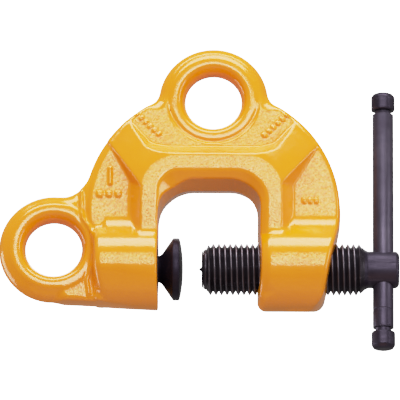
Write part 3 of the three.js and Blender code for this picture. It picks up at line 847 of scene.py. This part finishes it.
def thread_envelope(x):
    """The most the thread may reach at each place along the screw: chamfered at both ends."""
    from_nose = NOSE_R + 0.25 + max(x - THREAD_START, 0) * 2.0
    from_head = RELIEF_R + max(THREAD_END - x, 0) * 0.95
    return min(MAJOR_R + 0.1, from_nose, from_head)


def clamping_screw():
    """The screw: a nose with the tip's socket and ring groove, the thread, and the drilled head."""
    groove = [(5.5, SOCKET_R), (5.5, 6.9), (3.3, 6.9), (3.3, SOCKET_R)]
    socket = [(8.3, 0), (8.3, SOCKET_R), *groove, (NOSE_END, SOCKET_R)]
    nose = [(NOSE_END, 10.3), (-3.9, NOSE_R), (THREAD_START, NOSE_R),
            (THREAD_START, thread_envelope(THREAD_START))]
    head = [(THREAD_END, RELIEF_R), (83.0, HEAD_R), (98.6, HEAD_R), (HEAD_END, 8.2), (HEAD_END, 0)]
    points, faces = threaded(THREAD_START, THREAD_END, thread_envelope,
                             rounded(socket + nose, 0.08), rounded(head, 0.9, 4))
    obj = mesh_object("clamping_screw", on_screw_axis(points), faces, THREAD)
    low, high = -118, -68
    hole, faces = turned([(low, 0), (low, BAR_HOLE_R), (high, BAR_HOLE_R), (high, 0)], 64)
    cut_away(obj, on_bar_axis(hole), faces)
    obj.data.shade_smooth()
    obj.data.set_sharp_from_angle(angle=math.radians(38))
    obj.data.materials.append(HEAD)
    for face in obj.data.polygons:
        if face.center.x / MM > THREAD_END:
            face.material_index = 1
    return obj


def swivel_tip():
    """The screw's tip: a centre point on a flat face, and a grooved spigot that turns in the nose."""
    face = [(-7.2, 0), (-7.15, 0.35), (TIP_FACE, 1.35), (TIP_FACE, 9.3), (-4.9, 10.2), (-4.9, SPIGOT_R)]
    groove = [(3.4, SPIGOT_R), (3.4, 4.0), (5.4, 4.0), (5.4, SPIGOT_R)]
    end = [(7.6, SPIGOT_R), (8.0, 4.4), (8.0, 0)]
    points, faces = turned(rounded(face + groove + end, 0.1))
    return mesh_object("swivel_tip", on_screw_axis(points), faces, BLACK, 40)


def bar_end(end, way):
    """The bar's spigot and the groove that sets its cap off. way is 1 at its lower end, -1 at its upper."""
    shank = end + way * CAP_DEPTH
    return [(end, 0), (end, BAR_SPIGOT_R), (shank + way * 0.3, BAR_SPIGOT_R), (shank + way * 0.3, 4.3),
            (shank + way * 2, 4.3), (shank + way * 2.3, BAR_R)]


def sliding_bar():
    """The tommy bar, with two scribed rings near its lower end."""
    low, high = (corner.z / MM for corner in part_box("tommy_bar"))
    rings = []
    for z in SCRIBED_AT:
        root = BAR_R - 0.16
        rings += [(z - 0.35, BAR_R), (z - 0.12, root), (z + 0.12, root), (z + 0.35, BAR_R)]
    profile = bar_end(low, 1) + rings + bar_end(high, -1)[::-1]
    points, faces = turned(rounded(profile, 0.12, 2))
    return mesh_object("sliding_bar", on_bar_axis(points), faces, HANDLE, 40)


def facets(r, angle):
    """Eight faint flats round an end cap."""
    return 1 - 0.022 * math.cos(4 * angle) ** 2 if r > 4 else 1


def end_cap(name, node):
    """A cap with a blind bore for the bar's spigot and a rounded crown."""
    low, high = (corner.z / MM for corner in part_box(node))
    outer, mouth, way = (high, low, 1) if node.endswith("upper") else (low, high, -1)
    bore = [(mouth + way * 6.3, 0), (mouth + way * 6.3, 3.5), (mouth, 3.5)]
    side = [(mouth, 5.9), (mouth + way * 0.7, CAP_R), (outer - way * 1.5, CAP_R)]
    crown = [(outer + way * 0.2, 5.2), (outer + way * 0.7, 3.4), (outer + way * 0.7, 0)]
    points, faces = turned(rounded(bore + side + crown, 0.5), wobble=facets)
    return mesh_object(name, on_bar_axis(points), faces, HEAD, 35)


def cam_pad_mushroom():
    """The cam pad: a ball on a stem, a neck that flares into a cone, a rim and a shallow dome."""
    half_turn = math.pi / 2
    ball = arc(BALL_X, 0, BALL_R, math.pi, half_turn, 12)
    ball += arc(BALL_X, 0, BALL_R, half_turn, math.asin(STEM_R / BALL_R), 8)[1:]
    neck = [(-32.0, STEM_R), (-31.2, 6.8), (-31.0, 7.0)]
    flare = arc(FLARE_X, NECK_R + FLARE_R, FLARE_R, -half_turn, math.radians(52) - half_turn, 6)
    rim = [(-21.7, 15.9), (-21.35, 16.5), (-20.8, PAD_R), (-18.3, PAD_R), (-17.75, 16.45)]
    dome = [(-17.45, 15.4), (-17.0, 13.4), (-16.6, 11.0), (-16.25, 8.2), (-16.0, 5.2), (PAD_FACE, 2.5),
            (PAD_FACE, 0)]
    points, faces = turned(ball + neck + flare + rim + dome)
    return mesh_object("cam_pad_mushroom", on_screw_axis(points), faces, PAD_BLACK, 42)


def neck_ring():
    """The rubber ring that stands round the pad's neck."""
    left, right, inner, outer = -33.0, -29.1, 9.7, 13.4
    section = [(left, inner), (left, outer), (right, outer), (right, inner), (left, inner)]
    points, faces = turned(rounded(section, 0.5), 80)
    return mesh_object("neck_ring", on_screw_axis(points), faces, RUBBER, 50)


body = forged_body()
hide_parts("clamp_body")
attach(body, "frame")

screw = clamping_screw()
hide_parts("main_screw")
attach(screw, "screw")

tip = swivel_tip()
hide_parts("screw_tip")
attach(tip, "tip")

bar = sliding_bar()
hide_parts("tommy_bar")
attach(bar, "bar")

for node, name in (("bar_cap_upper", "upper_cap"), ("bar_cap_lower", "lower_cap")):
    cap = end_cap(name, node)
    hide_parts(node)
    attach(cap, "bar")

pad = cam_pad_mushroom()
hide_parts("cam_pad")
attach(pad, "cam")

washer = neck_ring()
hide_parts("cam_centring_ring")
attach(washer, "frame")

for node in ("cam_seat", "cam_retainer", "cam_snap_ring", "tip_retaining_ring"):
    frame["nodes"][node].data.materials.clear()
    frame["nodes"][node].data.materials.append(SPRING)

# ---------------------------------------------------------------- floor, light and camera, in metres

FLOOR_Z = -2.2
FLOOR_REACH = 3.6

floor_mesh = bpy.data.meshes.new("floor")
corners = [(x * FLOOR_REACH, y * FLOOR_REACH, FLOOR_Z) for x, y in ((-1, -1), (1, -1), (1, 1), (-1, 1))]
floor_mesh.from_pydata(corners, [], [(0, 1, 2, 3)])
floor_mesh.materials.append(pale_floor())
floor = bpy.data.objects.new("floor", floor_mesh)
bpy.context.scene.collection.objects.link(floor)


def direction(azimuth, elevation):
    """A unit vector from the object: azimuth 0 is the front, 90 the handle's side."""
    a, e = math.radians(azimuth), math.radians(elevation)
    return Vector((math.sin(a) * math.cos(e), -math.cos(a) * math.cos(e), math.sin(e)))


def softbox(name, azimuth, elevation, distance, width, height, power, colour=(1, 1, 1)):
    """A rectangular light that faces the middle of the clamp."""
    data = bpy.data.lights.new(name, "AREA")
    data.shape = "RECTANGLE"
    data.size, data.size_y = width, height
    data.energy = power
    data.color = colour
    light = bpy.data.objects.new(name, data)
    way = direction(azimuth, elevation)
    light.location = (cad_bounds[0] + cad_bounds[1]) / 2 + way * distance
    light.rotation_euler = way.to_track_quat("Z", "Y").to_euler()
    light.visible_camera = False
    bpy.context.scene.collection.objects.link(light)


softbox("front_softbox", 4, 7.5, 1.25, 0.8, 0.50, 7.7)
softbox("top_softbox", -8, 66, 1.1, 1.3, 0.56, 12.5)
softbox("left_softbox", -106, -10, 1.3, 0.6, 0.9, 5.5)
softbox("warm_card", -12, -58, 1.5, 1.6, 1.0, 2.4, (1.0, 0.42, 0.10))
softbox("right_softbox", 68, 4, 1.3, 0.3, 0.9, 3.2)
softbox("back_softbox", 180, 35, 1.6, 1.2, 0.8, 8)


def studio_world():
    """White behind the clamp, and a dim warm fill that lights it from all round."""
    world = bpy.data.worlds.new("studio")
    world.use_nodes = True
    tree = world.node_tree
    tree.nodes.clear()
    path = tree.nodes.new("ShaderNodeLightPath")
    mix = tree.nodes.new("ShaderNodeMixShader")
    out = tree.nodes.new("ShaderNodeOutputWorld")
    tree.links.new(path.outputs["Is Camera Ray"], mix.inputs[0])
    fill, seen = ((1.0, 0.97, 0.93, 1), 0.25), ((1, 1, 1, 1), 4.0)
    for socket, (colour, strength) in zip(mix.inputs[1:], (fill, seen)):
        background = tree.nodes.new("ShaderNodeBackground")
        background.inputs["Color"].default_value = colour
        background.inputs["Strength"].default_value = strength
        tree.links.new(background.outputs[0], socket)
    tree.links.new(mix.outputs[0], out.inputs[0])
    return world


bpy.context.scene.world = studio_world()

# The picture's tone curve: scene brightness, up to the white level, and how bright it is shown.
WHITE = 3
SHOWN = ((0.16, 0.20), (0.37, 0.45), (0.50, 0.60), (0.70, 0.71), (1.0, 0.80), (1.5, 0.88), (2.2, 0.95))

settings = bpy.context.scene.view_settings
settings.view_transform = "Standard"
settings.use_curve_mapping = True
settings.curve_mapping.white_level = (WHITE, WHITE, WHITE)
curve = settings.curve_mapping.curves[3]
for brightness, shown in SHOWN:
    curve.points.new(brightness / WHITE, shown)
settings.curve_mapping.update()

CAMERA_AZIMUTH = 0.7
CAMERA_ELEVATION = -16.2
CAMERA_DISTANCE = 3.3
CAMERA_ROLL = 0.36
CAMERA_LENS = 550
AIM_RIGHT = -0.0073
AIM_UP = -0.0523

way = direction(CAMERA_AZIMUTH, CAMERA_ELEVATION)
right = Vector((0, 0, 1)).cross(way).normalized()
up = way.cross(right)
roll = math.radians(CAMERA_ROLL)
right, up = right * math.cos(roll) + up * math.sin(roll), up * math.cos(roll) - right * math.sin(roll)
camera_data = bpy.data.cameras.new("camera")
camera_data.sensor_width = 36
camera_data.lens = CAMERA_LENS
camera_data.clip_end = 50
camera = bpy.data.objects.new("camera", camera_data)
place = Matrix((right, up, way)).transposed().to_4x4()
place.translation = way * CAMERA_DISTANCE + right * AIM_RIGHT + up * AIM_UP
camera.matrix_world = place
bpy.context.scene.collection.objects.link(camera)
bpy.context.scene.camera = camera
